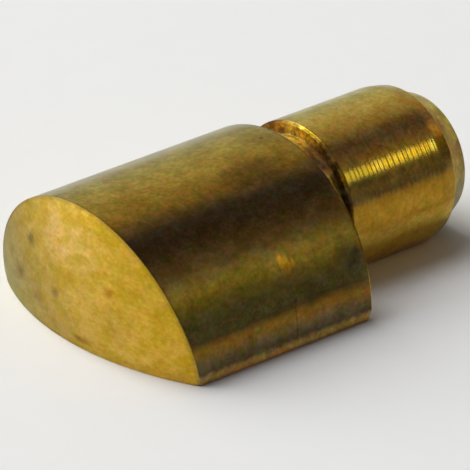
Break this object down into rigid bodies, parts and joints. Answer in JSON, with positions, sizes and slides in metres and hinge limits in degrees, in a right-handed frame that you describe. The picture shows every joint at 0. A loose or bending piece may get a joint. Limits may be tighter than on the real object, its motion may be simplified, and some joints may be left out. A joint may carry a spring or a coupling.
{
  "type": "shelf support pin",
  "caption": "Half-round brass shelf support with a domed end: the flat carries the shelf, and a short round pin plugs into a hole in the cabinet side.",
  "frame": {"origin": "on the shelf-bearing flat, straight under the pin's axis, in the plane of the shoulder that meets the cabinet side", "axes": "+X along the pin towards its free end, +Z from the flat up to the round back, Y across the flat; the part lies on its flat"},
  "size_m": [0.0141, 0.0086, 0.0044],
  "materials": {
    "brass": "satin, as turned, with fine ridges on the pin and a frosted dome"
  },
  "bodies": {
    "root": {"shelf_pin": "brass"}
  },
  "joints": []
}
